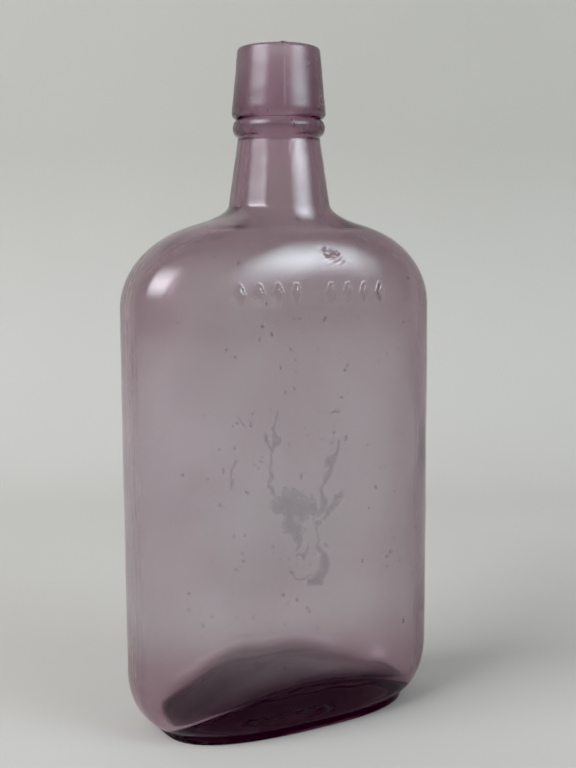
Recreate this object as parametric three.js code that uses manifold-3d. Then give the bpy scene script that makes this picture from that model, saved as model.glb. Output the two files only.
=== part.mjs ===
// A clear glass pint flask that sunlight has turned pale amethyst: a flattened oval body on a
// narrower oval foot, round shoulders, a tapered neck, a bead ring and a tapered collar.
// Millimetres. +Z is up, +X runs along the wide side, and the front panel faces -Y. The origin is
// the centre of the standing ring, on the surface that the flask stands on.
//
// The flask is one piece of glass. It is built here as its seven named zones, which meet on level
// planes: foot, heel, body, shoulder, neck, ring and collar.

import * as THREE from "three";
import { mergeVertices } from "three/addons/utils/BufferGeometryUtils.js";
import Module from "manifold-3d";

// Levels above the surface that the flask stands on.
const FOOT_TOP = 3;
const HEEL_TOP = 19.5;
const BODY_TOP = 129.8;
const SHOULDER_TOP = 161;
const NECK_TOP = 181.5;
const RING_TOP = 186.7;
const HEIGHT = 208;

// Outer half sizes. The body and the foot are ovals, and all above the shoulder is round.
const BODY_WIDTH = 50.8;
const BODY_DEPTH = 24.1;
const FOOT_WIDTH = 41.8;
const FOOT_DEPTH = 20.7;
const NECK_FOOT_RADIUS = 15.5;
const NECK_TOP_RADIUS = 12.5;
const RING_RADIUS = 14.1;
const GROOVE_RADIUS = 12.3;
const COLLAR_RADIUS = 14.4;
const LIP_RADIUS = 12.6;

// Curves of the outside.
const FOOT_EDGE_ROUND = 1;
const SHOULDER_REACH = 34.6;
const SHOULDER_RISE = 26.6;
const SHOULDER_TURN = 1.24;
const FRONT_REACH = 8.4;
const FRONT_TURN = 0.9;
const VALLEY_DEPTH = 16.6;
const VALLEY_LEVEL = 156.2;
const VALLEY_LEAN = 0.35;
const VALLEY_EASE = 3.5;
const COLLAR_EDGE_ROUND = 2;
const LIP_ROUND = 1.2;

// Glass thickness, and the inside.
const END_WALL = 3.2;
const FRONT_WALL = 2.8;
const FLOOR_WIDTH = 38;
const FLOOR_DEPTH = 17.5;
const FLOOR_LOW = 3.6;
const FLOOR_PUSH = 10;
const PUSH_REACH = 41;
const NECK_FOOT_BORE = 11.4;
const NECK_TOP_BORE = 9;
const MOUTH_BORE = 8.4;
const MOUTH_ROUND = 1;
const RECESS_WIDTH = 36.8;
const RECESS_HEIGHT = 1;
const RECESS_SHOULDER = 3;

// How square an oval section is: 2 is an ellipse, and more is a flatter front with fuller ends.
const OVAL_SQUARENESS = 2.64;

// Raised marks on the front of the shoulder: two rows of lozenges side by side.
const MARKS_PER_ROW = 4;
const MARK_ROW_CENTRES = [-16.2, 13.2];
const MARK_PITCH = 5.9;
const MARK_HALF_WIDTH = 1.8;
const MARK_HALF_HEIGHT = 3.9;
const MARK_PROUD = 0.7;
const MARK_LEVEL = 134.7;

const SEGMENTS_AROUND = 48;
const CURVE_STEPS = 4;
const FLOOR_STEPS = 4;
const OVERSHOOT = 10;
const QUARTER_DOWN = -Math.PI / 2;
const QUARTER_UP = Math.PI / 2;

const wasm = await Module();
wasm.setup();

const mix = THREE.MathUtils.lerp;

// Where the line through a point along a slope meets the line through two others.
function crossing(point, slope, from, to) {
  const along = to.clone().sub(from);
  const offset = from.clone().sub(point);
  const distance = offset.cross(along) / slope.cross(along);
  return point.clone().addScaledVector(slope, distance);
}

// Adds the shoulder to a half outline that has reached the top of the body: an elliptical arc, then
// a fillet that turns it up into the straight neck.
function addShoulder(outline, width, reach, rise, turn, neckFoot, neckTop) {
  outline.absellipse(width - reach, BODY_TOP, reach, rise, 0, turn, false, 0);
  const end = outline.currentPoint.clone();
  const slope = new THREE.Vector2(-reach * Math.sin(turn), rise * Math.cos(turn));
  const corner = crossing(end, slope, neckFoot, neckTop);
  outline.quadraticCurveTo(corner.x, corner.y, neckFoot.x, neckFoot.y);
}

const NECK_FOOT = new THREE.Vector2(NECK_FOOT_RADIUS, SHOULDER_TOP);
const NECK_TOP_EDGE = new THREE.Vector2(NECK_TOP_RADIUS, NECK_TOP);

// The shoulder as the front has it: its half depth, which curves over into a valley and from there
// up into the neck.
function frontShoulder() {
  const outline = new THREE.Path();
  outline.moveTo(BODY_DEPTH, BODY_TOP);
  outline.absellipse(BODY_DEPTH - FRONT_REACH, BODY_TOP, FRONT_REACH, SHOULDER_RISE, 0, FRONT_TURN);
  const brow = outline.currentPoint.clone();
  const valley = new THREE.Vector2(VALLEY_DEPTH, VALLEY_LEVEL);
  const browSlope = new THREE.Vector2(
    -FRONT_REACH * Math.sin(FRONT_TURN),
    SHOULDER_RISE * Math.cos(FRONT_TURN),
  );
  const valleySlope = new THREE.Vector2(-VALLEY_LEAN, 1);
  const over = brow.clone().addScaledVector(browSlope.normalize(), VALLEY_EASE);
  const under = valley.clone().addScaledVector(valleySlope.clone().normalize(), -VALLEY_EASE);
  outline.bezierCurveTo(over.x, over.y, under.x, under.y, valley.x, valley.y);
  const corner = crossing(valley, valleySlope, NECK_FOOT, NECK_TOP_EDGE);
  outline.quadraticCurveTo(corner.x, corner.y, NECK_FOOT.x, NECK_FOOT.y);
  return outline.getPoints(4 * CURVE_STEPS);
}

const frontPoints = frontShoulder();

// The half depth of the shoulder at a level.
function shoulderDepth(level) {
  const above = Math.max(1, frontPoints.findIndex((point) => point.y >= level));
  const low = frontPoints[above - 1];
  const high = frontPoints[above];
  return mix(low.x, high.x, (level - low.y) / (high.y - low.y));
}

// The outside from the centre of the base, out round the foot and up to the lip.
function outerOutline() {
  const ringRise = (RING_TOP - NECK_TOP) / 2;
  const ringLevel = (RING_TOP + NECK_TOP) / 2;
  const ringProud = RING_RADIUS - GROOVE_RADIUS;
  const collarFoot = RING_TOP + COLLAR_EDGE_ROUND;
  const outline = new THREE.Path();
  outline.moveTo(0, RECESS_HEIGHT);
  outline.quadraticCurveTo(RECESS_WIDTH - RECESS_SHOULDER, RECESS_HEIGHT, RECESS_WIDTH, 0);
  outline.lineTo(FOOT_WIDTH - FOOT_EDGE_ROUND, 0);
  outline.absarc(FOOT_WIDTH - FOOT_EDGE_ROUND, FOOT_EDGE_ROUND, FOOT_EDGE_ROUND, QUARTER_DOWN, 0);
  outline.lineTo(FOOT_WIDTH, FOOT_TOP);
  outline.absellipse(FOOT_WIDTH, HEEL_TOP, BODY_WIDTH - FOOT_WIDTH, HEEL_TOP - FOOT_TOP, QUARTER_DOWN, 0);
  outline.lineTo(BODY_WIDTH, BODY_TOP);
  addShoulder(outline, BODY_WIDTH, SHOULDER_REACH, SHOULDER_RISE, SHOULDER_TURN, NECK_FOOT, NECK_TOP_EDGE);
  outline.lineTo(NECK_TOP_RADIUS, NECK_TOP);
  outline.absellipse(GROOVE_RADIUS, ringLevel, ringProud, ringRise, QUARTER_DOWN, QUARTER_UP);
  outline.lineTo(COLLAR_RADIUS - COLLAR_EDGE_ROUND, RING_TOP);
  outline.absarc(COLLAR_RADIUS - COLLAR_EDGE_ROUND, collarFoot, COLLAR_EDGE_ROUND, QUARTER_DOWN, 0);
  outline.lineTo(LIP_RADIUS, HEIGHT - LIP_ROUND);
  outline.absarc(LIP_RADIUS - LIP_ROUND, HEIGHT - LIP_ROUND, LIP_ROUND, 0, QUARTER_UP);
  outline.lineTo(0, HEIGHT);
  return outline;
}

// The hollow from the middle of its floor, up the walls and out through the mouth. The floor is
// level here, and pushFloor lifts it.
function hollowOutline() {
  const width = BODY_WIDTH - END_WALL;
  const reach = SHOULDER_REACH - END_WALL;
  const rise = SHOULDER_RISE - END_WALL;
  const heelRise = HEEL_TOP - FLOOR_LOW;
  const mouthTop = MOUTH_BORE + MOUTH_ROUND;
  const outline = new THREE.Path();
  outline.moveTo(0, FLOOR_LOW);
  for (let i = 1; i <= FLOOR_STEPS; i += 1) {
    outline.lineTo((FLOOR_WIDTH * i) / FLOOR_STEPS, FLOOR_LOW);
  }
  outline.absellipse(FLOOR_WIDTH, HEEL_TOP, width - FLOOR_WIDTH, heelRise, QUARTER_DOWN, 0);
  outline.lineTo(width, BODY_TOP);
  const neckFoot = new THREE.Vector2(NECK_FOOT_BORE, SHOULDER_TOP);
  const neckTop = new THREE.Vector2(NECK_TOP_BORE, NECK_TOP);
  addShoulder(outline, width, reach, rise, SHOULDER_TURN, neckFoot, neckTop);
  outline.lineTo(NECK_TOP_BORE, NECK_TOP);
  outline.lineTo(MOUTH_BORE, HEIGHT - MOUTH_ROUND);
  outline.absarc(mouthTop, HEIGHT - MOUTH_ROUND, MOUTH_ROUND, Math.PI, QUARTER_UP, true);
  outline.lineTo(mouthTop, HEIGHT + OVERSHOOT);
  outline.lineTo(0, HEIGHT + OVERSHOOT);
  return outline;
}

// An oval's shape at any point of an outline. The depth follows the width: it runs straight from
// nothing on the axis to that of the narrow end's oval, and from there to that of the body's oval.
function ovalRule(body, narrow) {
  return (width) => {
    if (width <= narrow.width) {
      return { depth: (width * narrow.depth) / narrow.width, squareness: narrow.squareness };
    }
    const share = (width - narrow.width) / (body.width - narrow.width);
    return {
      depth: mix(narrow.depth, body.depth, share),
      squareness: mix(narrow.squareness, OVAL_SQUARENESS, share),
    };
  };
}

const round = (radius) => ({ width: radius, depth: radius, squareness: 2 });

// The outside above the body, whose shoulder has its own half depth at each level.
function outerHigh(width, level) {
  const shape = ovalRule(outerBody, round(NECK_FOOT_RADIUS))(width);
  const onShoulder = level > BODY_TOP && level < SHOULDER_TOP;
  return onShoulder ? { ...shape, depth: shoulderDepth(level) } : shape;
}

const outerBody = { width: BODY_WIDTH, depth: BODY_DEPTH };
const outerOval = {
  low: ovalRule(outerBody, { width: FOOT_WIDTH, depth: FOOT_DEPTH, squareness: OVAL_SQUARENESS }),
  high: outerHigh,
};

const hollowBody = { width: BODY_WIDTH - END_WALL, depth: BODY_DEPTH - FRONT_WALL };
const hollowOval = {
  low: ovalRule(hollowBody, { width: FLOOR_WIDTH, depth: FLOOR_DEPTH, squareness: OVAL_SQUARENESS }),
  high: ovalRule(hollowBody, round(NECK_FOOT_BORE)),
};

// One coordinate of a point on a squared oval, from the cosine or sine of its angle.
function squared(ratio, squareness) {
  return Math.sign(ratio) * Math.abs(ratio) ** (2 / squareness);
}

// Turns a half outline round the Z axis and presses each level of it to its oval.
function ovalLathe(outline, oval) {
  const geometry = new THREE.LatheGeometry(outline.getPoints(CURVE_STEPS), SEGMENTS_AROUND);
  geometry.rotateX(Math.PI / 2);
  const position = geometry.getAttribute("position");
  for (let i = 0; i < position.count; i += 1) {
    const x = position.getX(i);
    const y = position.getY(i);
    const height = position.getZ(i);
    const width = Math.hypot(x, y);
    if (width > 0) {
      const rule = height < (HEEL_TOP + BODY_TOP) / 2 ? oval.low : oval.high;
      const { depth, squareness } = rule(width, height);
      position.setX(i, width * squared(x / width, squareness));
      position.setY(i, depth * squared(y / width, squareness));
    }
  }
  return geometry;
}

// Lifts the inside floor along its middle, and the heel above it less and less up to its top.
function pushFloor(geometry) {
  const position = geometry.getAttribute("position");
  for (let i = 0; i < position.count; i += 1) {
    const height = position.getZ(i);
    if (height < HEEL_TOP) {
      const push = FLOOR_PUSH * Math.max(0, 1 - (position.getX(i) / PUSH_REACH) ** 2);
      position.setZ(i, height + (push * (HEEL_TOP - height)) / (HEEL_TOP - FLOOR_LOW));
    }
  }
  return geometry;
}

// A closed geometry as a solid that can be joined and cut.
function solid(geometry) {
  const bare = geometry.clone();
  bare.deleteAttribute("normal");
  bare.deleteAttribute("uv");
  const merged = mergeVertices(bare, 1e-4);
  const mesh = new wasm.Mesh({
    numProp: 3,
    vertProperties: merged.getAttribute("position").array,
    triVerts: new Uint32Array(merged.getIndex().array),
  });
  return new wasm.Manifold(mesh);
}

// How far the front panel stands from the middle plane on the lower shoulder.
function frontDepth(x, height) {
  const rise = (height - BODY_TOP) / SHOULDER_RISE;
  const width = BODY_WIDTH - SHOULDER_REACH * (1 - Math.sqrt(1 - rise * rise));
  const { depth, squareness } = outerHigh(width, height);
  return depth * (1 - (Math.abs(x) / width) ** squareness) ** (1 / squareness);
}

// One raised lozenge, half sunk in the front panel and leaning with it.
function mark(x) {
  const reach = MARK_HALF_HEIGHT / 2;
  const low = frontDepth(x, MARK_LEVEL - reach);
  const high = frontDepth(x, MARK_LEVEL + reach);
  const left = frontDepth(x - MARK_HALF_WIDTH, MARK_LEVEL);
  const right = frontDepth(x + MARK_HALF_WIDTH, MARK_LEVEL);
  const geometry = new THREE.OctahedronGeometry(1);
  geometry.scale(MARK_HALF_WIDTH, MARK_PROUD, MARK_HALF_HEIGHT);
  geometry.rotateX(-Math.atan2(low - high, 2 * reach));
  geometry.rotateZ(Math.atan2(left - right, 2 * MARK_HALF_WIDTH));
  geometry.translate(x, -frontDepth(x, MARK_LEVEL), MARK_LEVEL);
  return geometry;
}

function addMarks(glass) {
  let marked = glass;
  for (const centre of MARK_ROW_CENTRES) {
    for (let i = 0; i < MARKS_PER_ROW; i += 1) {
      const x = centre + (i - (MARKS_PER_ROW - 1) / 2) * MARK_PITCH;
      marked = marked.add(solid(mark(x)));
    }
  }
  return marked;
}

// The glass between two levels.
function zone(glass, bottom, top) {
  const reach = 2 * BODY_WIDTH + OVERSHOOT;
  const slab = new THREE.BoxGeometry(reach, reach, top - bottom);
  slab.translate(0, 0, (bottom + top) / 2);
  return glass.intersect(solid(slab));
}

function geometryOf(manifold) {
  const { vertProperties, triVerts } = manifold.getMesh();
  const indexed = new THREE.BufferGeometry();
  indexed.setAttribute("position", new THREE.BufferAttribute(vertProperties, 3));
  indexed.setIndex(new THREE.BufferAttribute(triVerts, 1));
  const geometry = indexed.toNonIndexed();
  geometry.computeVertexNormals();
  return geometry;
}

const outside = solid(ovalLathe(outerOutline(), outerOval));
const hollow = solid(pushFloor(ovalLathe(hollowOutline(), hollowOval)));
const glass = addMarks(outside.subtract(hollow));

const THIN_GLASS_COLOUR = 0xb9a3ad;
const THICK_GLASS_COLOUR = 0x5a3a4a;

const zones = [
  { name: "foot", bottom: 0, top: FOOT_TOP, colour: THICK_GLASS_COLOUR },
  { name: "heel", bottom: FOOT_TOP, top: HEEL_TOP, colour: THIN_GLASS_COLOUR },
  { name: "body", bottom: HEEL_TOP, top: BODY_TOP, colour: THIN_GLASS_COLOUR },
  { name: "shoulder", bottom: BODY_TOP, top: SHOULDER_TOP, colour: THIN_GLASS_COLOUR },
  { name: "neck", bottom: SHOULDER_TOP, top: NECK_TOP, colour: THIN_GLASS_COLOUR },
  { name: "ring", bottom: NECK_TOP, top: RING_TOP, colour: THICK_GLASS_COLOUR },
  { name: "collar", bottom: RING_TOP, top: HEIGHT, colour: THICK_GLASS_COLOUR },
];

const flask = new THREE.Group();
for (const { name, bottom, top, colour } of zones) {
  const material = new THREE.MeshStandardMaterial({ color: colour, roughness: 0.1, metalness: 0 });
  material.transparent = true;
  material.opacity = 0.5;
  const mesh = new THREE.Mesh(geometryOf(zone(glass, bottom, top)), material);
  mesh.name = name;
  flask.add(mesh);
}

export default flask;
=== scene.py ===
# The looks of an old pint flask of pale amethyst glass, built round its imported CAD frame.
# Metres. +Z runs up the neck, +X along the wide side, and the marked front panel faces -Y.

import math

import bpy
import numpy as np
from mathutils import Euler, Matrix, Vector


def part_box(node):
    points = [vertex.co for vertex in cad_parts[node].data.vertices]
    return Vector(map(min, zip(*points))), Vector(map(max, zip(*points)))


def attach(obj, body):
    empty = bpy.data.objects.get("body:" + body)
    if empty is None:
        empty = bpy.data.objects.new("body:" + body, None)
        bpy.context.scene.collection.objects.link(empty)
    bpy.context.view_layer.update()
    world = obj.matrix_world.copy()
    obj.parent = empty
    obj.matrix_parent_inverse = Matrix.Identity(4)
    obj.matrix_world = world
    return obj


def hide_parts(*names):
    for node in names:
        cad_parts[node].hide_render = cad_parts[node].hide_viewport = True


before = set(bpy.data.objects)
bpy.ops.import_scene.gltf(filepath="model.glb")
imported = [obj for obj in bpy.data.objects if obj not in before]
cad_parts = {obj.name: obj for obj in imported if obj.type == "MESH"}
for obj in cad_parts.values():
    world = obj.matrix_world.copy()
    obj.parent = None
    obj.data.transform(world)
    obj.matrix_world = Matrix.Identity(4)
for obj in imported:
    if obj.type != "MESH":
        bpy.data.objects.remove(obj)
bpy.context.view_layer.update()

MM = 0.001


# ---------------------------------------------------------------------------------------------
# Sizes. Levels and outer half sizes come from the frame, and the rest is in millimetres.
# ---------------------------------------------------------------------------------------------

def top_of(node):
    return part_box(node)[1].z


def half_sizes(node):
    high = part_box(node)[1]
    return high.x, high.y


FOOT_TOP = top_of("foot")
HEEL_TOP = top_of("heel")
BODY_TOP = top_of("body")
SHOULDER_TOP = top_of("shoulder")
NECK_TOP = top_of("neck")
RING_TOP = top_of("ring")
HEIGHT = top_of("collar")

BODY_WIDTH, BODY_DEPTH = half_sizes("body")
FOOT_WIDTH, FOOT_DEPTH = half_sizes("foot")
NECK_FOOT_RADIUS = half_sizes("neck")[0]
RING_RADIUS = half_sizes("ring")[0]
COLLAR_RADIUS = half_sizes("collar")[0]
NECK_TOP_RADIUS = 12.5 * MM
GROOVE_RADIUS = 12.3 * MM
LIP_RADIUS = 12.6 * MM

FOOT_EDGE_ROUND = 1 * MM
SHOULDER_REACH = 34.6 * MM
SHOULDER_RISE = 26.6 * MM
SHOULDER_TURN = 1.24
FRONT_REACH = 8.4 * MM
FRONT_TURN = 0.9
VALLEY_DEPTH = 16.6 * MM
VALLEY_LEVEL = 156.2 * MM
VALLEY_LEAN = 0.35
VALLEY_EASE = 3.5 * MM
MARKS_TURN = 0.36
COLLAR_EDGE_ROUND = 2 * MM
LIP_ROUND = 1.2 * MM
RECESS_WIDTH = 36.8 * MM
RECESS_HEIGHT = 1 * MM
RECESS_SHOULDER = 3 * MM

END_WALL = 3.2 * MM
FRONT_WALL = 2.8 * MM
HOLLOW_WIDTH = BODY_WIDTH - END_WALL
HOLLOW_DEPTH = BODY_DEPTH - FRONT_WALL
FLOOR_WIDTH = 38 * MM
FLOOR_DEPTH = 17.5 * MM
FLOOR_LOW = 3.6 * MM
FLOOR_PUSH = 10 * MM
PUSH_REACH = 41 * MM
NECK_FOOT_BORE = 11.4 * MM
NECK_TOP_BORE = 9 * MM
MOUTH_BORE = 8.4 * MM
MOUTH_ROUND = 1 * MM

# How square an oval section is: 2 is an ellipse, and more is a flatter front with fuller ends.
OVAL_SQUARENESS = 2.64

MARKS_PER_ROW = 4
MARK_ROW_CENTRES = [-16.2 * MM, 13.2 * MM]
MARK_PITCH = 5.9 * MM
MARK_HALF_WIDTH = 1.8 * MM
MARK_HALF_HEIGHT = 3.9 * MM
MARK_PROUD = 0.7 * MM
MARK_LEVEL = 134.7 * MM
MARKS_REACH = 29 * MM

BRUISE_X = 5.5 * MM
BRUISE_LEVEL = 145.6 * MM
BRUISE_REACH = 3.3 * MM
BRUISE_HEIGHT = 1.2 * MM
BRUISE_ROUGH = 0.34 * MM

OUTER_RIPPLE = 0.045 * MM
HOLLOW_RIPPLE = 0.17 * MM
COLLAR_RIPPLE = 0.03 * MM
NECK_RIPPLE = 0.02 * MM
FOLD_RIPPLE = 0.10 * MM
SIDE_SEAM_PROUD = 0.06 * MM
SIDE_SEAM_WIDTH = 0.35 * MM
COLLAR_SEAM_PROUD = 0.09 * MM
COLLAR_SEAM_WIDTH = 0.3 * MM
NUB_PROUD = 0.45 * MM
NUB_RADIUS = 0.8 * MM

# The seeds are small bubbles: how deep in the wall they lie, and how many each stretch has.
SEED_DEPTH = 1.3 * MM
SEED_ZONES = [
    (HEEL_TOP, BODY_TOP, 74),
    (BODY_TOP, SHOULDER_TOP, 18),
    (SHOULDER_TOP, HEIGHT - 4 * MM, 24),
]
SEED_SIDES = 8
SEED_RINGS = 4

# Haze grows over a rise above the heel, and thins in the upper body and towards the right end.
HAZE_RISE = 22 * MM
HAZE_THINS_FROM = 0.41 * HEIGHT
HAZE_LOSS_ABOVE = 0.85
HAZE_LOSS_RIGHT = 0.6

# Where round the neck the collar's seam and the folds are, from the front towards the right.
COLLAR_SEAM = math.radians(-22)
FOLDS_SIDE = math.radians(-24)
FOLDS_REACH = 0.5

COLUMNS = 262
TURN_SAMPLES = 24001


# ---------------------------------------------------------------------------------------------
# Outlines: half widths and levels along the glass, as arrays of (width, level).
# ---------------------------------------------------------------------------------------------

def line(start, end, steps):
    return np.linspace(start, end, steps + 1)[1:]


def arc(centre, radii, start, stop, steps):
    turn = np.linspace(start, stop, steps + 1)[1:]
    across = centre[0] + radii[0] * np.cos(turn)
    up = centre[1] + radii[1] * np.sin(turn)
    return np.column_stack([across, up])


def bend(start, corner, end, steps):
    """A quadratic curve from start to end that leans towards corner."""
    t = np.linspace(0, 1, steps + 1)[1:, None]
    start, corner, end = (np.array(p) for p in (start, corner, end))
    return (1 - t) ** 2 * start + 2 * t * (1 - t) * corner + t ** 2 * end


def cubic(start, over, under, end, steps):
    """A cubic curve from start to end that leaves towards over and arrives from under."""
    t = np.linspace(0, 1, steps + 1)[1:, None]
    rest = 1 - t
    return rest ** 3 * start + 3 * rest ** 2 * t * over + 3 * rest * t ** 2 * under + t ** 3 * end


def crossing(point, slope, start, end):
    """Where the line through point along slope meets the line from start to end."""
    along = (end[0] - start[0], end[1] - start[1])
    offset = (start[0] - point[0], start[1] - point[1])
    distance = offset[0] * along[1] - offset[1] * along[0]
    distance /= slope[0] * along[1] - slope[1] * along[0]
    return point[0] + slope[0] * distance, point[1] + slope[1] * distance


def shoulder(width, reach, rise, neck_foot, neck_top):
    """From the top of the body, over the shoulder, up into the straight neck."""
    centre = (width - reach, BODY_TOP)
    low = arc(centre, (reach, rise), 0, MARKS_TURN, 28)
    high = arc(centre, (reach, rise), MARKS_TURN, SHOULDER_TURN, 26)
    slope = (-reach * math.sin(SHOULDER_TURN), rise * math.cos(SHOULDER_TURN))
    corner = crossing(high[-1], slope, neck_foot, neck_top)
    return [low, high, bend(high[-1], corner, neck_foot, 14)]


def front_shoulder():
    """The shoulder as the front has it: its half depth, over into a valley and up into the neck."""
    radii = np.array([FRONT_REACH, SHOULDER_RISE])
    low = arc((BODY_DEPTH - FRONT_REACH, BODY_TOP), radii, 0, FRONT_TURN, 40)
    brow_slope = radii * (-math.sin(FRONT_TURN), math.cos(FRONT_TURN))
    valley = np.array([VALLEY_DEPTH, VALLEY_LEVEL])
    valley_slope = np.array([-VALLEY_LEAN, 1])
    over = low[-1] + brow_slope / np.linalg.norm(brow_slope) * VALLEY_EASE
    under = valley - valley_slope / np.linalg.norm(valley_slope) * VALLEY_EASE
    neck_foot = (NECK_FOOT_RADIUS, SHOULDER_TOP)
    corner = crossing(valley, valley_slope, neck_foot, (NECK_TOP_RADIUS, NECK_TOP))
    return np.vstack([low, cubic(low[-1], over, under, valley, 24), bend(valley, corner, neck_foot, 16)])


def outer_outline():
    ring_level = (RING_TOP + NECK_TOP) / 2
    ring_radii = (RING_RADIUS - GROOVE_RADIUS, (RING_TOP - NECK_TOP) / 2)
    collar_centre = (COLLAR_RADIUS - COLLAR_EDGE_ROUND, RING_TOP + COLLAR_EDGE_ROUND)
    recess_bend = (RECESS_WIDTH - RECESS_SHOULDER, RECESS_HEIGHT)
    neck_foot = (NECK_FOOT_RADIUS, SHOULDER_TOP)
    neck_top = (NECK_TOP_RADIUS, NECK_TOP)
    quarter = math.pi / 2
    edge = FOOT_EDGE_ROUND
    pieces = [
        bend((0, RECESS_HEIGHT), recess_bend, (RECESS_WIDTH, 0), 14),
        line((RECESS_WIDTH, 0), (FOOT_WIDTH - edge, 0), 3),
        arc((FOOT_WIDTH - edge, edge), (edge, edge), -quarter, 0, 5),
        line((FOOT_WIDTH, edge), (FOOT_WIDTH, FOOT_TOP), 3),
        arc((FOOT_WIDTH, HEEL_TOP), (BODY_WIDTH - FOOT_WIDTH, HEEL_TOP - FOOT_TOP), -quarter, 0, 22),
        line((BODY_WIDTH, HEEL_TOP), (BODY_WIDTH, BODY_TOP), 34),
        *shoulder(BODY_WIDTH, SHOULDER_REACH, SHOULDER_RISE, neck_foot, neck_top),
        line(neck_foot, neck_top, 14),
        arc((GROOVE_RADIUS, ring_level), ring_radii, -quarter, quarter, 14),
        line((GROOVE_RADIUS, RING_TOP), (collar_centre[0], RING_TOP), 1),
        arc(collar_centre, (COLLAR_EDGE_ROUND, COLLAR_EDGE_ROUND), -quarter, 0, 6),
        line((COLLAR_RADIUS, collar_centre[1]), (LIP_RADIUS, HEIGHT - LIP_ROUND), 12),
        arc((LIP_RADIUS - LIP_ROUND, HEIGHT - LIP_ROUND), (LIP_ROUND, LIP_ROUND), 0, quarter, 6),
    ]
    return np.vstack(pieces)


def hollow_outline():
    """From the middle of the inside floor up the walls to the rounded mouth."""
    heel_rise = HEEL_TOP - FLOOR_LOW
    neck_foot = (NECK_FOOT_BORE, SHOULDER_TOP)
    neck_top = (NECK_TOP_BORE, NECK_TOP)
    mouth_foot = (MOUTH_BORE, HEIGHT - MOUTH_ROUND)
    mouth_centre = (MOUTH_BORE + MOUTH_ROUND, HEIGHT - MOUTH_ROUND)
    reach = SHOULDER_REACH - END_WALL
    rise = SHOULDER_RISE - END_WALL
    pieces = [
        line((0, FLOOR_LOW), (FLOOR_WIDTH, FLOOR_LOW), 12),
        arc((FLOOR_WIDTH, HEEL_TOP), (HOLLOW_WIDTH - FLOOR_WIDTH, heel_rise), -math.pi / 2, 0, 20),
        line((HOLLOW_WIDTH, HEEL_TOP), (HOLLOW_WIDTH, BODY_TOP), 30),
        *shoulder(HOLLOW_WIDTH, reach, rise, neck_foot, neck_top),
        line(neck_foot, neck_top, 10),
        line(neck_top, mouth_foot, 12),
        arc(mouth_centre, (MOUTH_ROUND, MOUTH_ROUND), math.pi, math.pi / 2, 5),
    ]
    return np.vstack(pieces)


# ---------------------------------------------------------------------------------------------
# Ovals: a level of the flask is an oval whose depth and squareness follow its width.
# ---------------------------------------------------------------------------------------------

OUTER = {
    "body": (BODY_WIDTH, BODY_DEPTH),
    "low": (FOOT_WIDTH, FOOT_DEPTH),
    "neck": NECK_FOOT_RADIUS,
}
HOLLOW = {
    "body": (HOLLOW_WIDTH, HOLLOW_DEPTH),
    "low": (FLOOR_WIDTH, FLOOR_DEPTH),
    "neck": NECK_FOOT_BORE,
}


def oval_rule(outline, oval):
    """Half depth and squareness at each point of an outline."""
    width, level = outline.T
    body = oval["body"]
    low_width, low_depth = oval["low"]
    neck = oval["neck"]
    low = np.interp(width, [0, low_width, body[0]], [0, low_depth, body[1]])
    high = np.interp(width, [0, neck, body[0]], [0, neck, body[1]])
    high_squareness = np.interp(width, [neck, body[0]], [2, OVAL_SQUARENESS])
    below = level < (HEEL_TOP + BODY_TOP) / 2
    return np.where(below, low, high), np.where(below, OVAL_SQUARENESS, high_squareness)


def squared(ratio, squareness):
    return np.sign(ratio) * np.abs(ratio) ** (2 / squareness)


def column_turns():
    """Angles of the mesh's columns: even round the body, and closer over the marks and the seams."""
    turn = np.linspace(0, 2 * math.pi, TURN_SAMPLES)
    x = BODY_WIDTH * squared(np.cos(turn), OVAL_SQUARENESS)
    y = BODY_DEPTH * squared(np.sin(turn), OVAL_SQUARENESS)
    on_marks = (y < 0) & (np.abs(x) < MARKS_REACH)
    on_seam = np.abs(y) < 2 * MM
    weight = 1 + 1.4 * on_marks + 2 * on_seam
    steps = np.hypot(np.diff(x), np.diff(y)) * weight[1:]
    travelled = np.concatenate([[0], np.cumsum(steps)])
    return np.interp(np.arange(COLUMNS) / COLUMNS * travelled[-1], travelled, turn)


def outer_oval_rule(outline):
    """The outside's rule, whose shoulder has its own half depth at each level."""
    depth, squareness = oval_rule(outline, OUTER)
    front = front_shoulder()
    level = outline[:, 1]
    on_shoulder = (level > BODY_TOP) & (level < SHOULDER_TOP)
    return np.where(on_shoulder, np.interp(level, front[:, 1], front[:, 0]), depth), squareness


def rings(outline, depth, squareness, turns):
    """The points of an outline's ovals, as rows of columns."""
    width, level = outline.T
    x = width[:, None] * squared(np.cos(turns)[None], squareness[:, None])
    y = depth[:, None] * squared(np.sin(turns)[None], squareness[:, None])
    z = np.broadcast_to(level[:, None], x.shape)
    return np.stack([x, y, z], -1)


def facing(grid):
    """Unit normals of a grid of rings, out of the glass."""
    around = np.roll(grid, -1, 1) - np.roll(grid, 1, 1)
    along = np.gradient(grid, axis=0)
    normal = np.cross(around, along)
    return normal / np.maximum(np.linalg.norm(normal, axis=-1, keepdims=True), 1e-12)


def waves(points, seed, shortest, longest, count=24):
    """Smooth noise of about unit strength, as a sum of waves in random directions."""
    rng = np.random.default_rng(seed)
    total = np.zeros(points.shape[:-1])
    for _ in range(count):
        direction = rng.normal(size=3)
        direction /= np.linalg.norm(direction)
        length = rng.uniform(shortest, longest)
        total += np.sin(points @ direction * (2 * math.pi / length) + rng.uniform(0, 2 * math.pi))
    return total / math.sqrt(count / 2)


def smooth(value, low, high):
    t = np.clip((value - low) / (high - low), 0, 1)
    return t * t * (3 - 2 * t)


# ---------------------------------------------------------------------------------------------
# The glass: one closed body with ripple, mould seams and raised marks, and seeds inside it.
# ---------------------------------------------------------------------------------------------

def outer_ripple(points):
    clear_of_base = smooth(points[..., 2], 0.5 * MM, 6 * MM)
    return OUTER_RIPPLE * waves(points, seed=3, shortest=11 * MM, longest=32 * MM) * clear_of_base


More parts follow.
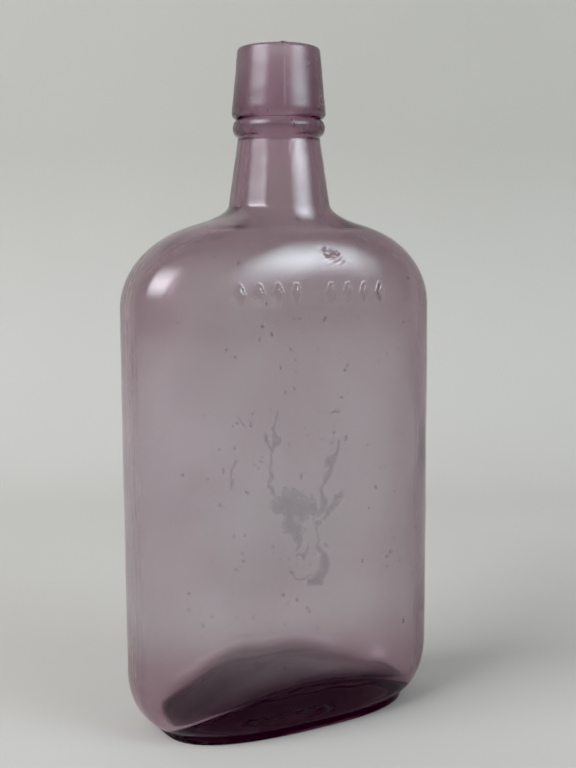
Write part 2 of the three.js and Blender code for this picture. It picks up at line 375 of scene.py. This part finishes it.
def tooling(points):
    """Level ripples from the finishing tool on the collar, and ripples and folds on the neck."""
    x, y, z = np.moveaxis(points, -1, 0)
    on_collar = smooth(z, RING_TOP, RING_TOP + 4 * MM) * (1 - smooth(z, HEIGHT - 2.5 * MM, HEIGHT - MM))
    flat = points * (0.25, 0.25, 1)
    ripple = COLLAR_RIPPLE * waves(flat, seed=17, shortest=1.6 * MM, longest=5 * MM) * on_collar
    on_neck = smooth(z, SHOULDER_TOP, NECK_TOP - 4 * MM) * (z < NECK_TOP)
    drawn = NECK_RIPPLE * waves(points, seed=23, shortest=2.5 * MM, longest=7 * MM) * on_neck
    turn = np.arctan2(x, -y)
    side = smooth(turn, FOLDS_SIDE - FOLDS_REACH, FOLDS_SIDE)
    side *= 1 - smooth(turn, FOLDS_SIDE, FOLDS_SIDE + FOLDS_REACH)
    close = smooth(z, NECK_TOP - 7 * MM, NECK_TOP - 2 * MM) * (z < NECK_TOP)
    folds = FOLD_RIPPLE * waves(points, seed=19, shortest=1.8 * MM, longest=5 * MM) * side * close
    return ripple + folds + drawn


def hollow_ripple(points):
    """Slow ripple, calmer at the two narrow ends and gone at the lip."""
    clear_of_lip = 1 - smooth(points[..., 2], HEIGHT - 8 * MM, HEIGHT - 2 * MM)
    calm = 1 - 0.8 * smooth(np.abs(points[..., 0]), HOLLOW_WIDTH - 12 * MM, HOLLOW_WIDTH)
    ripple = HOLLOW_RIPPLE * waves(points, seed=11, shortest=18 * MM, longest=55 * MM)
    return ripple * clear_of_lip * calm


def raised_marks(points):
    """Two rows of plain lozenges on the front of the shoulder."""
    x, y, z = np.moveaxis(points, -1, 0)
    height = np.zeros(x.shape)
    for centre in MARK_ROW_CENTRES:
        for i in range(MARKS_PER_ROW):
            across = np.abs(x - centre - (i - (MARKS_PER_ROW - 1) / 2) * MARK_PITCH) / MARK_HALF_WIDTH
            up = np.abs(z - MARK_LEVEL) / MARK_HALF_HEIGHT
            height = np.maximum(height, smooth(1 - across - up, 0, 0.3))
    return MARK_PROUD * height * (y < 0)


def mould_seams(points):
    """Fine ridges up both narrow sides, and up the ring and the collar off centre."""
    x, y, z = np.moveaxis(points, -1, 0)
    on_sides = np.exp(-(y / SIDE_SEAM_WIDTH) ** 2) * smooth(z, FOOT_TOP, HEEL_TOP) * (z < NECK_TOP)
    across = x * math.cos(COLLAR_SEAM) + y * math.sin(COLLAR_SEAM)
    on_collar = np.exp(-(across / COLLAR_SEAM_WIDTH) ** 2) * (z >= NECK_TOP)
    on_collar *= z < HEIGHT - LIP_ROUND
    return SIDE_SEAM_PROUD * on_sides + COLLAR_SEAM_PROUD * on_collar


def bruise(points):
    """The rough patch that a knock left on the front of the shoulder, above the second row."""
    x, y, z = np.moveaxis(points, -1, 0)
    across = x - BRUISE_X
    up = z - BRUISE_LEVEL + across / 4
    spot = np.exp(-(across / BRUISE_REACH) ** 4 - (up / BRUISE_HEIGHT) ** 4) * (y < 0)
    return BRUISE_ROUGH * waves(points, seed=43, shortest=1 * MM, longest=2 * MM) * spot


def lip_nub(points):
    """The small bead where the collar's seam ends on the lip."""
    spot = Vector((math.sin(COLLAR_SEAM), -math.cos(COLLAR_SEAM), 0)) * (LIP_RADIUS - LIP_ROUND / 2)
    distance = np.linalg.norm(points - np.array([spot.x, spot.y, HEIGHT - LIP_ROUND / 3]), axis=-1)
    return NUB_PROUD * np.exp(-(distance / NUB_RADIUS) ** 2)


def seeds(outer):
    """Small bubbles trapped in the walls, as voids: where they are and how large."""
    rng = np.random.default_rng(29)
    normal = facing(outer)
    levels = outer[:, 0, 2]
    found = []
    for low, high, count in SEED_ZONES:
        rows = np.flatnonzero((levels > low) & (levels < high))
        for _ in range(count):
            row = rng.choice(rows)
            column = rng.integers(COLUMNS)
            centre = outer[row, column] - normal[row, column] * SEED_DEPTH
            radius = rng.uniform(0.18, 0.42) * MM
            found.append((centre, radius, radius * rng.uniform(1.1, 2.4)))
    return found


def ball(centre, radius, tall):
    """A small closed void: a ball stretched up, whose faces look into it."""
    latitudes = np.linspace(-math.pi / 2, math.pi / 2, SEED_RINGS + 2)[1:-1]
    longitudes = np.arange(SEED_SIDES) * 2 * math.pi / SEED_SIDES
    points = [centre - np.array([0, 0, tall])]
    for latitude in latitudes:
        for longitude in longitudes:
            across = radius * math.cos(latitude)
            step = (across * math.cos(longitude), across * math.sin(longitude), tall * math.sin(latitude))
            points.append(centre + np.array(step))
    points.append(centre + np.array([0, 0, tall]))
    last = len(points) - 1
    faces = []
    for j in range(SEED_SIDES):
        k = (j + 1) % SEED_SIDES
        faces.append((0, 1 + j, 1 + k))
        faces.append((last, last - SEED_SIDES + k, last - SEED_SIDES + j))
        for i in range(SEED_RINGS - 1):
            under = 1 + SEED_SIDES * i
            over = under + SEED_SIDES
            faces.append((under + j, over + j, over + k, under + k))
    return points, faces


def grid_faces(rows, columns):
    faces = []
    for i in range(rows - 1):
        for j in range(columns):
            k = (j + 1) % columns
            faces.append((i * columns + j, i * columns + k, (i + 1) * columns + k, (i + 1) * columns + j))
    return faces


def mesh_object(name, points, faces):
    mesh = bpy.data.meshes.new(name)
    mesh.from_pydata([tuple(p) for p in points], [], faces)
    mesh.polygons.foreach_set("use_smooth", [True] * len(mesh.polygons))
    mesh.update()
    made = bpy.data.objects.new(name, mesh)
    bpy.context.scene.collection.objects.link(made)
    return made


def point_value(piece, name, values):
    """Stores one number per point of a piece for its material to read."""
    layer = piece.data.attributes.new(name, "FLOAT", "POINT")
    layer.data.foreach_set("value", np.asarray(values, np.float32))


def push_floor(points):
    """Lifts the inside floor along the middle, and the heel above it less and less up to its top."""
    x, y, z = np.moveaxis(points, -1, 0)
    push = FLOOR_PUSH * np.clip(1 - (x / PUSH_REACH) ** 2, 0, 1)
    left = np.clip((HEEL_TOP - z) / (HEEL_TOP - FLOOR_LOW), 0, 1)
    return np.stack([x, y, z + push * left], -1)


def haziness(points):
    """How cloudy the glass is: most in the lower body, and little above and at its right end."""
    x, _, z = points.T
    above_heel = smooth(z, HEEL_TOP, HEEL_TOP + HAZE_RISE)
    high = smooth(z, HAZE_THINS_FROM, BODY_TOP)
    right = smooth(x, 0.2 * BODY_WIDTH, 0.95 * BODY_WIDTH)
    return above_heel * (1 - HAZE_LOSS_ABOVE * high) * (1 - HAZE_LOSS_RIGHT * right)


def paleness(points):
    """How washed out the purple is: fully in the body, and not in the foot, ring or collar."""
    z = points[:, 2]
    return smooth(z, FOOT_TOP, HEEL_TOP + 5 * MM) * (1 - smooth(z, SHOULDER_TOP, NECK_TOP))


def glass_walls(turns):
    """The outside and the inside as rows of points, the inside from the lip down."""
    outline = outer_outline()
    outer = rings(outline, *outer_oval_rule(outline), turns)
    outline = hollow_outline()
    inner = push_floor(rings(outline, *oval_rule(outline, HOLLOW), turns))[::-1]
    return outer, inner


def glass_relief(outer):
    relief = outer_ripple(outer) + tooling(outer) + raised_marks(outer)
    return relief + mould_seams(outer) + bruise(outer) + lip_nub(outer)


def cap_faces(rows, recess_middle, floor_middle):
    """Triangles that close the recess under the foot and the inside floor."""
    last_row = (rows - 1) * COLUMNS
    faces = []
    for j in range(COLUMNS):
        k = (j + 1) % COLUMNS
        faces.append((recess_middle, k, j))
        faces.append((floor_middle, last_row + j, last_row + k))
    return faces


def build_glass(turns):
    outer, inner = glass_walls(turns)
    bubbles = seeds(outer)
    outer = outer + facing(outer) * glass_relief(outer)[..., None]
    inner = inner + facing(inner) * hollow_ripple(inner)[..., None]
    grid = np.vstack([outer, inner])
    points = list(grid.reshape(-1, 3))
    inside = [0.0] * (len(outer) * COLUMNS) + [1.0] * (len(inner) * COLUMNS)
    faces = grid_faces(len(grid), COLUMNS) + cap_faces(len(grid), len(points), len(points) + 1)
    points += [np.array([0, 0, RECESS_HEIGHT]), np.array([0, 0, FLOOR_LOW + FLOOR_PUSH])]
    inside += [0.0, 1.0]
    for centre, radius, tall in bubbles:
        more_points, more_faces = ball(centre, radius, tall)
        start = len(points)
        points += more_points
        inside += [0.0] * len(more_points)
        faces += [tuple(start + i for i in face) for face in more_faces]
    glass = mesh_object("flask_glass", points, faces)
    point_value(glass, "inside", inside)
    point_value(glass, "haze", haziness(np.array(points)))
    point_value(glass, "pale", paleness(np.array(points)))
    return glass


# ---------------------------------------------------------------------------------------------
# The residue: a thin film that dried in drips on the inside of the front panel.
# ---------------------------------------------------------------------------------------------

# Each drip runs through points of x, level and half width, in millimetres.
DRIPS = [
    [(-12.5, 73.5, 2.6), (-8.5, 72.5, 4.4), (-4.5, 71, 4), (-1, 69.5, 1.6)],
    [(-9, 68.5, 3.2), (-6.5, 64, 2.4), (-6, 58.5, 0.7)],
    [(-12.6, 99.5, 0.25), (-13.8, 95.5, 0.4), (-12.8, 91, 0.5), (-14.6, 88.5, 0.3), (-14.8, 76, 0.7)],
    [(-16, 94.5, 0.4), (-16, 91.5, 0.9), (-15.2, 89.5, 0.4)],
    [(8.3, 90.5, 0.4), (7, 86.5, 0.9), (5, 83, 1.4), (3, 79, 0.6), (2.2, 73, 0.8), (0.6, 67.5, 0.4)],
    [(8.6, 73, 0.9), (5.6, 70.5, 1.5), (2, 67.5, 0.9)],
    [(0.2, 66, 0.25), (0.3, 58.5, 0.35), (2.2, 55.5, 1.3), (2.6, 52, 1.9), (0.5, 49, 1.7),
     (-2.6, 46.6, 0.4)],
    [(-3.2, 59, 0.3), (-4.2, 56.5, 0.5), (-6, 55.5, 0.3)],
    [(-8.6, 51, 0.3), (-6.5, 49.4, 0.7), (-3.6, 49, 0.3), (-1, 50, 0.3)],
    [(5.4, 98.6, 0.4), (6.8, 99.6, 0.7)],
    [(-24, 100, 0.25), (-23.6, 96.5, 0.15)],
    [(-25.2, 87, 0.15), (-26.6, 83, 0.45), (-26.6, 79, 0.15)],
]
DRIP_DEPTH = 0.8
DRIP_RAGGED = 0.22
DRIP_DRIFT_ACROSS = 0.45 * MM
DRIP_DRIFT_UP = 0.6 * MM
SPECKS = 125
SPECK_DEPTH = 1.3
FILM_REACH = 41 * MM
FILM_LOW = 32 * MM
FILM_HIGH = 128 * MM
FILM_STEP = 0.25 * MM
FILM_LIFT = 0.06 * MM


def drip_cover(x, z, drip):
    """How deep inside a drip each point lies: 1 along its middle, and 0 at its edge."""
    cover = np.full(x.shape, -1.0)
    for (x0, z0, r0), (x1, z1, r1) in zip(drip, drip[1:]):
        along = np.array([x1 - x0, z1 - z0])
        share = ((x / MM - x0) * along[0] + (z / MM - z0) * along[1]) / (along @ along)
        share = np.clip(share, 0, 1)
        distance = np.hypot(x / MM - x0 - share * along[0], z / MM - z0 - share * along[1])
        cover = np.maximum(cover, 1 - distance / (r0 + (r1 - r0) * share))
    return cover


def speck_cover(points):
    """Small dark specks that dried anywhere on the front, cut deeper than the drips."""
    rng = np.random.default_rng(61)
    cover = np.full(points.shape[:-1], -1.0)
    for _ in range(SPECKS):
        x = rng.uniform(-FILM_REACH, FILM_REACH)
        z = rng.uniform(FILM_LOW, FILM_HIGH)
        size = rng.uniform(0.2, 0.42) * MM
        tall = rng.uniform(1, 1.6)
        distance = np.hypot(points[..., 0] - x, (points[..., 2] - z) / tall)
        cover = np.maximum(cover, SPECK_DEPTH * (1 - distance / size))
    return cover


def film_cover(points):
    """The drips, with crept and ragged edges, and the specks."""
    across, up = (waves(points, seed, shortest=2.5 * MM, longest=9 * MM) for seed in (51, 52))
    x = points[..., 0] + DRIP_DRIFT_ACROSS * across
    z = points[..., 2] + DRIP_DRIFT_UP * up
    cover = np.max([drip_cover(x, z, drip) for drip in DRIPS], axis=0)
    cover += DRIP_RAGGED * waves(points, seed=53, shortest=1.2 * MM, longest=4 * MM)
    return np.maximum(np.minimum(cover, DRIP_DEPTH), speck_cover(points))


def build_film():
    columns = np.arange(-FILM_REACH, FILM_REACH, FILM_STEP)
    levels = np.arange(FILM_LOW, FILM_HIGH, FILM_STEP)
    x, z = np.meshgrid(columns, levels)
    reach = 1 - np.abs(x / HOLLOW_WIDTH) ** OVAL_SQUARENESS
    y = -HOLLOW_DEPTH * reach ** (1 / OVAL_SQUARENESS)
    wall = np.stack([x, y, z], -1)
    slope = np.gradient(y, FILM_STEP, axis=1)
    normal = np.stack([-slope, np.ones_like(y), np.zeros_like(y)], -1)
    normal /= np.linalg.norm(normal, axis=-1, keepdims=True)
    film = wall + normal * (hollow_ripple(wall) + FILM_LIFT)[..., None]
    cover = film_cover(wall)

    number = np.full(cover.shape, -1)
    faces = []
    points = []
    covers = []
    for i in range(len(levels) - 1):
        for j in range(len(columns) - 1):
            corners = [(i, j), (i, j + 1), (i + 1, j + 1), (i + 1, j)]
            if max(cover[corner] for corner in corners) <= 0:
                continue
            for corner in corners:
                if number[corner] < 0:
                    number[corner] = len(points)
                    points.append(film[corner])
                    covers.append(max(cover[corner], 0))
            faces.append([int(number[corner]) for corner in reversed(corners)])
    residue = mesh_object("residue_film", points, faces)
    point_value(residue, "cover", covers)
    return residue


# ---------------------------------------------------------------------------------------------
# Materials: the glass, the residue and the sheet that the flask stands on.
# ---------------------------------------------------------------------------------------------

PLUM = (1.0, 0.965, 0.98, 1)
GREENISH_PATCH = (0.942, 0.975, 0.953)
PINKISH_PATCH = (0.975, 0.968, 0.967)
RIGHT_END_TINT = (0.965, 1.0, 0.975, 1)
PURPLE_OF_DEPTH = (0.40, 0.10, 0.24, 1)
DEPTH_STRENGTH = 150.0

# How opaque the residue is from its edge to the middle of a drip, and then of a speck.
RESIDUE_OPACITY = [(0, 0), (0.07, 0.50), (0.17, 0.20), (0.5, 0.31), (DRIP_DEPTH, 0.42), (1, 1)]


def new_material(name):
    """A material with its node tree, its shader and the object's own coordinates."""
    material = bpy.data.materials.new(name)
    material.use_nodes = True
    tree = material.node_tree
    place = tree.nodes.new("ShaderNodeTexCoord").outputs["Object"]
    return material, tree, tree.nodes["Principled BSDF"], place


def add(tree, kind, **settings):
    """A new node, with its own settings and the plain values of its named inputs."""
    node = tree.nodes.new(kind)
    for key, value in settings.items():
        if key in node.inputs:
            node.inputs[key].default_value = value
        else:
            setattr(node, key, value)
    return node


def feed(tree, socket, value):
    """Gives a socket another node's output, or a plain value."""
    if isinstance(value, bpy.types.NodeSocket):
        tree.links.new(value, socket)
    else:
        socket.default_value = value


def ranged(tree, value, start, stop, low, high, kind="LINEAR"):
    """Carries a value over from the range start to stop, onto the range low to high."""
    limits = {"From Min": start, "From Max": stop, "To Min": low, "To Max": high}
    node = add(tree, "ShaderNodeMapRange", interpolation_type=kind, **limits)
    feed(tree, node.inputs["Value"], value)
    return node.outputs["Result"]


def worked(tree, operation, *values, **settings):
    """A math node on numbers and other nodes' outputs."""
    node = add(tree, "ShaderNodeMath", operation=operation, **settings)
    for socket, value in zip(node.inputs, values):
        feed(tree, socket, value)
    return node.outputs[0]


# A Mix node's sockets for its share, its two values and its result.
MIX_SOCKETS = {"FLOAT": (0, 2, 3, 0), "RGBA": (0, 6, 7, 2)}


def blend(tree, kind, share, first, second):
    """Goes from first to second, both numbers or both colours, as share goes from 0 to 1."""
    node = add(tree, "ShaderNodeMix", data_type=kind)
    *sockets, result = MIX_SOCKETS[kind]
    for index, value in zip(sockets, (share, first, second)):
        feed(tree, node.inputs[index], value)
    return node.outputs[result]


def noise(tree, place, scale, detail):
    node = add(tree, "ShaderNodeTexNoise", Scale=scale, Detail=detail)
    feed(tree, node.inputs["Vector"], place)
    return node.outputs["Fac"]


def ramp(tree, value, *stops):
    """Turns a value into a colour, by stops of a position and a colour."""
    node = tree.nodes.new("ShaderNodeValToRGB")
    elements = node.color_ramp.elements
    for element, (position, colour) in zip(elements, (stops[0], stops[-1])):
        element.position = position
        element.color = (*colour, 1)
    for position, colour in stops[1:-1]:
        elements.new(position).color = (*colour, 1)
    feed(tree, node.inputs["Fac"], value)
    return node.outputs["Color"]


def split_place(tree, place):
    node = tree.nodes.new("ShaderNodeSeparateXYZ")
    feed(tree, node.inputs[0], place)
    return node.outputs


def attribute(tree, name):
    return add(tree, "ShaderNodeAttribute", attribute_name=name).outputs["Fac"]


def glass_roughness(tree, haze, wear, level):
    """Faint wear outside, more inside, and a collar dulled by the finishing tool."""
    outside = ranged(tree, wear, 0, 1, 0, 0.09)
    hollow = ranged(tree, haze, 0, 1, 0.10, 0.24)
    surface = blend(tree, "FLOAT", attribute(tree, "inside"), outside, hollow)
    tooled = ranged(tree, level, NECK_TOP - 6 * MM, RING_TOP, 0, 0.22, "SMOOTHSTEP")
    return worked(tree, "ADD", surface, tooled)


def glass_clearness(tree, haze):
    """Clear glass, but for a thin cloud where it is hazy."""
    cloud = ranged(tree, haze, 0.3, 0.7, 0.08, 0.165)
    return worked(tree, "SUBTRACT", 1.0, worked(tree, "MULTIPLY", cloud, attribute(tree, "haze")))


def glass_tint(tree, place, across):
    """Plum at the foot and collar, and large greener and pinker patches between them."""
    patches = noise(tree, place, 11.0, 2.0)
    patchy = ramp(tree, patches, (0.36, GREENISH_PATCH), (0.64, PINKISH_PATCH))
    rightward = ranged(tree, across, 0.2 * BODY_WIDTH, BODY_WIDTH, 0, 1, "SMOOTHSTEP")
    body = blend(tree, "RGBA", rightward, patchy, RIGHT_END_TINT)
    return blend(tree, "RGBA", attribute(tree, "pale"), PLUM, body)


def glass_wear(tree, place, wear):
    """Small round pits under a fine wear."""
    pits = add(tree, "ShaderNodeTexVoronoi", Scale=150.0)
    feed(tree, pits.inputs["Vector"], place)
    depth = ranged(tree, pits.outputs["Distance"], 0.015, 0.06, 0, 1, "SMOOTHSTEP")
    pitted = add(tree, "ShaderNodeBump", Strength=0.5, Distance=0.4 * MM)
    feed(tree, pitted.inputs["Height"], depth)
    worn = add(tree, "ShaderNodeBump", Strength=0.05, Distance=1 * MM)
    feed(tree, worn.inputs["Height"], wear)
    feed(tree, worn.inputs["Normal"], pitted.outputs["Normal"])
    return worn.outputs["Normal"]


def glass_material():
    """Pale amethyst glass, whose colour deepens with the length of glass that is looked through."""
    material, tree, shader, place = new_material("amethyst_glass")
    parts = split_place(tree, place)
    haze = noise(tree, place, 28.0, 4.0)
    wear = noise(tree, place, 90.0, 6.0)
    feed(tree, shader.inputs["IOR"], 1.5)
    feed(tree, shader.inputs["Roughness"], glass_roughness(tree, haze, wear, parts["Z"]))
    feed(tree, shader.inputs["Transmission Weight"], glass_clearness(tree, haze))
    feed(tree, shader.inputs["Base Color"], glass_tint(tree, place, parts["X"]))
    feed(tree, shader.inputs["Normal"], glass_wear(tree, place, wear))
    depth = {"Density": DEPTH_STRENGTH, "Color": PURPLE_OF_DEPTH}
    absorption = add(tree, "ShaderNodeVolumeAbsorption", **depth)
    feed(tree, tree.nodes["Material Output"].inputs["Volume"], absorption.outputs["Volume"])
    return material


def residue_material():
    """A dull bluish film, thicker in its middle, with a fine dark line where each edge dried."""
    material, tree, shader, place = new_material("dried_residue")
    grain = noise(tree, place, 900.0, 5.0)
    colour = ramp(tree, grain, (0, (0.07, 0.06, 0.10)), (1, (0.16, 0.13, 0.31)))
    stops = [(position, (level, level, level)) for position, level in RESIDUE_OPACITY]
    density = ramp(tree, attribute(tree, "cover"), *stops)
    patchy = ranged(tree, grain, 0, 1, 0.3, 1.6)
    feed(tree, shader.inputs["Base Color"], colour)
    feed(tree, shader.inputs["Alpha"], worked(tree, "MULTIPLY", density, patchy, use_clamp=True))
    feed(tree, shader.inputs["Roughness"], 0.85)
    feed(tree, shader.inputs["Specular IOR Level"], 0.2)
    return material


def floor_material():
    """A pale dull sheet with faint clouds, with painted shade that makes it a little darker where it
    rises.
    """
    material, tree, shader, place = new_material("pale_floor")
    # Painted shade: the sheet's colour darkens with height where it rises behind the flask.
    rise = ranged(tree, split_place(tree, place)["Z"], 0, SWEEP_BEND, 0, 0.7)
    clouds_and_painted_shade = worked(tree, "MULTIPLY_ADD", noise(tree, place, 6.0, 3.0), 0.3, rise)
    cloth_and_painted_shade = ramp(tree, clouds_and_painted_shade, (0, (0.62, 0.603, 0.565)), (1, (0.48, 0.468, 0.428)))
    feed(tree, shader.inputs["Base Color"], cloth_and_painted_shade)
    feed(tree, shader.inputs["Roughness"], 0.9)
    feed(tree, shader.inputs["Specular IOR Level"], 0.15)
    return material


# ---------------------------------------------------------------------------------------------
# The stage: a pale sheet that lies under the flask and rises behind it, two windows and a camera.
# ---------------------------------------------------------------------------------------------

CAMERA_PLACE = Vector((-0.1711, -0.3160, 0.1494))
CAMERA_LENS = 54.1
CAMERA_PITCH = 0.1215
CAMERA_YAW = 0.503
CAMERA_ROLL = -0.0047

SWEEP_NEAR = 0.6
SWEEP_FLAT = 0.30
SWEEP_BEND = 0.22
SWEEP_STEPS = 16
SWEEP_TOP = 1.1
FLOOR_REACH = 6.0

WINDOW_DISTANCE = 1.5
WINDOW_AIM = 0.75 * HEIGHT
ROOM_COLOUR = (0.97, 0.98, 1.0, 1)
ROOM_STRENGTH = 0.27
BLACK_LEVEL = (0.0125, 0.019, 0.015)


def heading(azimuth, elevation):
    """A direction from the flask: azimuth 0 is the front, and 90 is its right end."""
    a, e = math.radians(azimuth), math.radians(elevation)
    return Vector((math.sin(a) * math.cos(e), -math.cos(a) * math.cos(e), math.sin(e)))


def build_stage():
    """The sheet lies flat from far in front and bends up behind, square to the camera's view."""
    across = Vector((math.cos(CAMERA_YAW), -math.sin(CAMERA_YAW), 0))
    away = Vector((math.sin(CAMERA_YAW), math.cos(CAMERA_YAW), 0))
    profile = [(-FLOOR_REACH, 0), (-SWEEP_NEAR, 0), (0, 0), (SWEEP_FLAT, 0)]
    for i in range(1, SWEEP_STEPS + 1):
        turn = i / SWEEP_STEPS * math.pi / 2
        profile.append((SWEEP_FLAT + SWEEP_BEND * math.sin(turn), SWEEP_BEND * (1 - math.cos(turn))))
    profile.append((SWEEP_FLAT + SWEEP_BEND, SWEEP_TOP))
    points = []
    for side in (-1, 1):
        for forward, up in profile:
            points.append(across * (side * FLOOR_REACH) + away * forward + Vector((0, 0, up)))
    count = len(profile)
    faces = [(i, count + i, count + i + 1, i + 1) for i in range(count - 1)]
    sheet = mesh_object("pale_sheet", points, faces)
    sheet.data.materials.append(floor_material())


def soft_panel(light, colour, strength, edge, top_share):
    """A panel that fades out over an edge share at each side, and up and down from top_share."""
    light.use_nodes = True
    tree = light.node_tree
    emission = tree.nodes["Emission"]
    place = tree.nodes.new("ShaderNodeNewGeometry").outputs["Parametric"]
    parts = split_place(tree, place)
    ramps = [("X", 0, edge), ("X", 1, 1 - edge), ("Y", 0, top_share), ("Y", 1, top_share)]
    glow = strength
    for axis, dark, bright in ramps:
        fade = ranged(tree, parts[axis], dark, bright, 0, 1, "SMOOTHSTEP")
        glow = worked(tree, "MULTIPLY", glow, fade)
    feed(tree, emission.inputs["Color"], (*colour, 1))
    feed(tree, emission.inputs["Strength"], glow)


def build_window(name, azimuth, elevation, across, up, **glow):
    """A soft panel that the flask sees at a heading, across and up degrees wide and tall."""
    light = bpy.data.lights.new(name, "AREA")
    light.shape = "RECTANGLE"
    light.size = 2 * WINDOW_DISTANCE * math.tan(math.radians(across / 2))
    light.size_y = 2 * WINDOW_DISTANCE * math.tan(math.radians(up / 2))
    light.energy = math.pi * light.size * light.size_y
    soft_panel(light, **glow)
    lamp = bpy.data.objects.new(name, light)
    direction = heading(azimuth, elevation)
    lamp.location = direction * WINDOW_DISTANCE + Vector((0, 0, WINDOW_AIM))
    lamp.rotation_euler = (-direction).to_track_quat("-Z", "Y").to_euler()
    bpy.context.scene.collection.objects.link(lamp)


def build_lights():
    right_glow = {"colour": (0.80, 0.93, 1.0), "strength": 11, "edge": 0.5, "top_share": 0.5}
    left_glow = {"colour": (0.93, 0.95, 1.0), "strength": 11, "edge": 0.25, "top_share": 0.45}
    build_window("right_window", azimuth=29.5, elevation=22.5, across=60, up=28, **right_glow)
    build_window("left_window", azimuth=-85, elevation=34, across=50, up=46, **left_glow)
    world = bpy.data.worlds.new("room")
    world.use_nodes = True
    background = world.node_tree.nodes["Background"]
    background.inputs["Color"].default_value = ROOM_COLOUR
    background.inputs["Strength"].default_value = ROOM_STRENGTH
    bpy.context.scene.world = world


def build_camera():
    data = bpy.data.cameras.new("camera")
    data.lens = CAMERA_LENS
    data.clip_start = 0.01
    camera = bpy.data.objects.new("camera", data)
    camera.location = CAMERA_PLACE
    turn = Euler((math.pi / 2 - CAMERA_PITCH, 0, -CAMERA_YAW)).to_matrix()
    camera.rotation_euler = (turn @ Matrix.Rotation(CAMERA_ROLL, 3, "Z")).to_euler()
    bpy.context.scene.collection.objects.link(camera)
    bpy.context.scene.camera = camera


def set_picture():
    """The blacks are deepened towards plum, and light may pass through many walls."""
    scene = bpy.context.scene
    scene.view_settings.view_transform = "Standard"
    scene.view_settings.use_curve_mapping = True
    scene.view_settings.curve_mapping.black_level = BLACK_LEVEL
    scene.cycles.max_bounces = 24
    scene.cycles.transmission_bounces = 24
    scene.cycles.glossy_bounces = 12
    scene.cycles.transparent_max_bounces = 24


turns = column_turns()
glass = build_glass(turns)
glass.data.materials.append(glass_material())
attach(glass, "root")
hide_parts("foot", "heel", "body", "shoulder", "neck", "ring", "collar")

residue = build_film()
residue.data.materials.append(residue_material())
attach(residue, "root")

build_stage()
build_lights()
build_camera()
set_picture()
